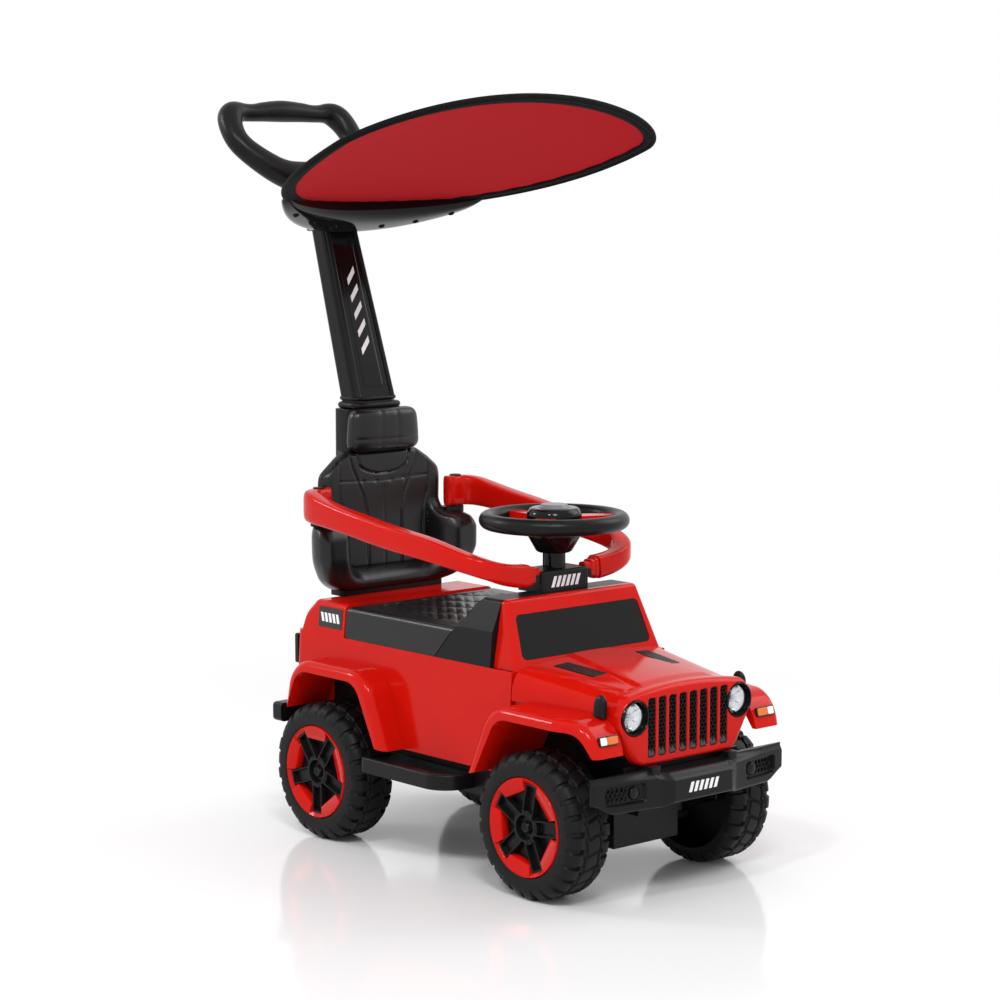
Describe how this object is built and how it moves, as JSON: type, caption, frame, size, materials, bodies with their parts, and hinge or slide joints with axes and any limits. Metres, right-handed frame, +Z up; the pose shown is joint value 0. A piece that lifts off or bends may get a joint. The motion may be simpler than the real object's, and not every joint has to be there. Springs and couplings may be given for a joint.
{
  "type": "push car with handle",
  "caption": "Ride-on toy car for a small child with a steering wheel, guard arms, lidded seat, sliding footboards, rear push handle and fabric sun shade.",
  "frame": {"origin": "on the ground below the middle of the whole car", "axes": "+Z up, front of the car towards -Y, its right side towards -X"},
  "size_m": [0.506, 0.797, 0.9155],
  "materials": {
    "red_plastic": "glossy moulded",
    "black_plastic": "satin moulded",
    "black_gloss": "glossy moulded",
    "black_leather_look": "leather grain moulded",
    "tyre_plastic": "matt moulded",
    "steel": "plain",
    "shade_cloth": "plain weave",
    "shade_binding": "folded tape",
    "lamp_chrome": "vacuum plated",
    "lamp_clear": "clear moulded",
    "lamp_amber": "glossy",
    "grey_plastic": "glossy"
  },
  "bodies": {
    "car": {"backrest_pad": "black_leather_look", "backrest_shell": "black_leather_look", "body_shell": "red_plastic", "bracket_lower": "black_gloss", "bracket_screws": "steel", "bracket_upper": "black_gloss", "canopy_binding": "shade_binding", "canopy_fabric": "shade_cloth", "canopy_hoop": "steel", "chassis_pan": "black_plastic", "column_collar": "black_plastic", "dash_console": "black_plastic", "fog_lamps": "lamp_clear", "front_bumper": "black_plastic", "grille_insert": "black_plastic", "grille_panel": "red_plastic", "guard_caps": "black_plastic", "headlight_bezels": "black_plastic", "headlight_lenses": "lamp_clear", "headlight_reflectors": "lamp_chrome", "headrest_pad": "black_leather_look", "hinge_pins": "steel", "hood_latches": "black_plastic", "hood_panel": "red_plastic", "hood_vents": "black_plastic", "marker_lamps": "lamp_amber", "push_column": "black_gloss", "push_handle": "black_plastic", "rear_axle": "steel", "rear_bumper": "black_plastic", "steering_block": "black_plastic", "storage_bin": "black_plastic", "tail_lamps": "black_gloss", "windshield_frame": "red_plastic", "windshield_panel": "black_gloss"},
    "steering": {"steering_rim": "black_plastic", "steering_spokes": "red_plastic", "steering_hub": "black_plastic", "steering_shaft": "steel"},
    "horn": {"horn_button": "grey_plastic"},
    "steer_bar": {"tie_bar": "black_plastic"},
    "knuckle_right": {"knuckle_right": "black_plastic"},
    "knuckle_left": {"knuckle_left": "black_plastic"},
    "lid": {"seat_lid": "black_leather_look"},
    "guard_right": {"guard_arm_right": "red_plastic"},
    "guard_left": {"guard_arm_left": "red_plastic"},
    "board_right": {"footboard_right": "black_plastic"},
    "board_left": {"footboard_left": "black_plastic"},
    "wheel_front_right": {"tyre_front_right": "tyre_plastic", "rim_ring_front_right": "red_plastic", "hub_star_front_right": "black_plastic"},
    "wheel_front_left": {"tyre_front_left": "tyre_plastic", "rim_ring_front_left": "red_plastic", "hub_star_front_left": "black_plastic"},
    "wheel_rear_right": {"tyre_rear_right": "tyre_plastic", "rim_ring_rear_right": "red_plastic", "hub_star_rear_right": "black_plastic"},
    "wheel_rear_left": {"tyre_rear_left": "tyre_plastic", "rim_ring_rear_left": "red_plastic", "hub_star_rear_left": "black_plastic"}
  },
  "joints": [
    {"name": "steering_turn", "type": "hinge", "parent": "car", "child": "steering", "pos_m": [0, -0.14785, 0.4], "axis": [0, 0, 1], "range_deg": [-24, 24]},
    {"name": "horn_press", "type": "slide", "parent": "steering", "child": "horn", "axis": [0, 0, -1], "range_m": [0, 0.003], "stiffness_N_per_m": 600},
    {"name": "bar_shift", "type": "slide", "parent": "car", "child": "steer_bar", "axis": [-1, 0, 0], "range_m": [-0.0106, 0.0106]},
    {"name": "knuckle_right_turn", "type": "hinge", "parent": "car", "child": "knuckle_right", "pos_m": [-0.084, -0.27335, 0.085], "axis": [0, 0, 1], "range_deg": [-15.1, 15.1]},
    {"name": "knuckle_left_turn", "type": "hinge", "parent": "car", "child": "knuckle_left", "pos_m": [0.084, -0.27335, 0.085], "axis": [0, 0, 1], "range_deg": [-15.1, 15.1]},
    {"name": "wheel_front_right_spin", "type": "hinge", "parent": "knuckle_right", "child": "wheel_front_right", "pos_m": [-0.131, -0.27335, 0.085], "axis": [1, 0, 0], "continuous": true},
    {"name": "wheel_front_left_spin", "type": "hinge", "parent": "knuckle_left", "child": "wheel_front_left", "pos_m": [0.131, -0.27335, 0.085], "axis": [1, 0, 0], "continuous": true},
    {"name": "wheel_rear_right_spin", "type": "hinge", "parent": "car", "child": "wheel_rear_right", "pos_m": [-0.131, 0.11165, 0.085], "axis": [1, 0, 0], "continuous": true},
    {"name": "wheel_rear_left_spin", "type": "hinge", "parent": "car", "child": "wheel_rear_left", "pos_m": [0.131, 0.11165, 0.085], "axis": [1, 0, 0], "continuous": true},
    {"name": "lid_lift", "type": "hinge", "parent": "car", "child": "lid", "pos_m": [0, 0.09115, 0.28], "axis": [-1, 0, 0], "range_deg": [0, 60]},
    {"name": "guard_right_swing", "type": "hinge", "parent": "car", "child": "guard_right", "pos_m": [-0.112, 0.16415, 0.41], "axis": [0, 0, -1], "range_deg": [0, 75]},
    {"name": "guard_left_swing", "type": "hinge", "parent": "car", "child": "guard_left", "pos_m": [0.112, 0.16415, 0.41], "axis": [0, 0, 1], "range_deg": [0, 75]},
    {"name": "board_right_slide", "type": "slide", "parent": "car", "child": "board_right", "axis": [1, 0, 0], "range_m": [0, 0.058]},
    {"name": "board_left_slide", "type": "slide", "parent": "car", "child": "board_left", "axis": [-1, 0, 0], "range_m": [0, 0.058]}
  ],
  "couplings": [
    {"joint": "knuckle_right_turn", "follows": "steering_turn", "ratio": 0.625},
    {"joint": "knuckle_left_turn", "follows": "steering_turn", "ratio": 0.625},
    {"joint": "bar_shift", "follows": "steering_turn", "m_per_rad": 0.025}
  ]
}
